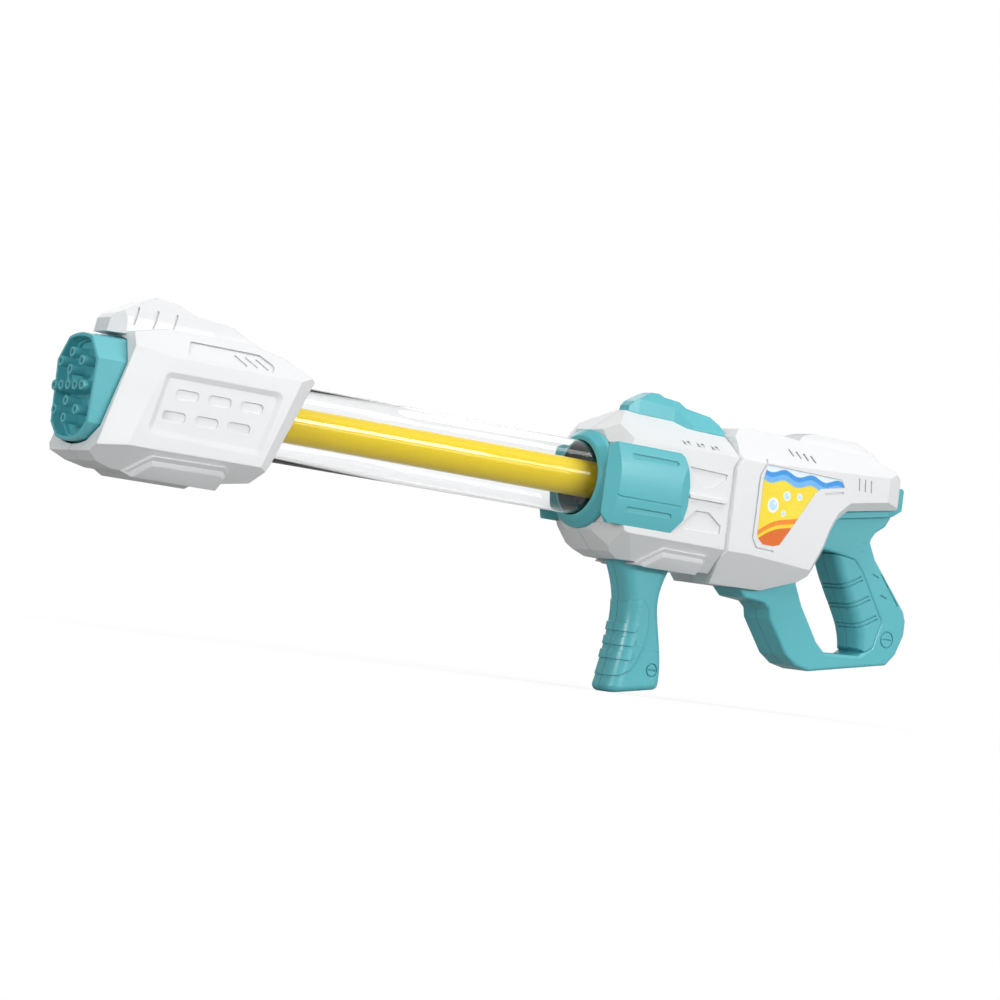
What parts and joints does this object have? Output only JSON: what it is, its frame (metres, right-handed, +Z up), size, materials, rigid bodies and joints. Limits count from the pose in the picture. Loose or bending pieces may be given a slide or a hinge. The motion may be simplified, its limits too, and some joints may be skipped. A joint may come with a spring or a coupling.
{
  "type": "toy pump blaster",
  "caption": "Hand-pumped multi-jet toy blaster: faceted head with a nozzle of small tubes, clear barrel with a sliding rod, fore grip and a rear body with a D-handle.",
  "frame": {"origin": "middle of the fore grip's flat base", "axes": "+X along the barrel from the nozzle to the tail, +Y to the toy's right, +Z up"},
  "size_m": [0.6799, 0.083, 0.2057],
  "materials": {
    "white_plastic": "moulded satin-gloss white plastic",
    "teal_plastic": "moulded satin-gloss teal plastic",
    "teal_soft": "softer teal grip plastic",
    "yellow_plastic": "glossy yellow plastic",
    "clear_plastic": "clear moulded plastic, smooth",
    "grey_plastic": "plain light plastic, inside",
    "dark_plastic": "dark teal plastic, inside the collar",
    "rubber": "black rubber",
    "steel": "zinc-plated steel",
    "label_print": "printed vinyl label with plain wave bands"
  },
  "bodies": {
    "barrel": {"nozzle_cowl": "teal_plastic", "jet_plate": "teal_plastic", "manifold_gasket": "rubber", "manifold_cup": "grey_plastic", "barrel_seal": "rubber", "clear_barrel": "clear_plastic", "head_left": "white_plastic", "head_right": "white_plastic", "head_top_cover": "white_plastic", "head_screws": "steel", "collar_ring": "teal_plastic", "fore_shell_left": "white_plastic", "fore_shell_right": "white_plastic", "drum_panel_left": "teal_plastic", "drum_panel_right": "teal_plastic", "top_fin": "teal_plastic", "fore_grip_left": "teal_plastic", "fore_grip_right": "teal_plastic", "fore_screws": "steel", "fore_grip_screws": "steel", "rod_guide": "dark_plastic", "stop_bumper": "rubber"},
    "plunger": {"plunger_rod": "yellow_plastic", "piston": "grey_plastic", "piston_seals": "rubber", "piston_pin": "steel", "rod_pin": "steel", "rear_shell_left": "white_plastic", "rear_shell_right": "white_plastic", "label_left": "label_print", "label_right": "label_print", "handle_left": "teal_plastic", "handle_right": "teal_plastic", "grip_pad_left": "teal_soft", "grip_pad_right": "teal_soft", "rear_screws": "steel", "handle_screws": "steel"}
  },
  "joints": [
    {"name": "plunger_slide", "type": "slide", "parent": "barrel", "child": "plunger", "axis": [1, 0, 0], "range_m": [0, 0.32]}
  ]
}
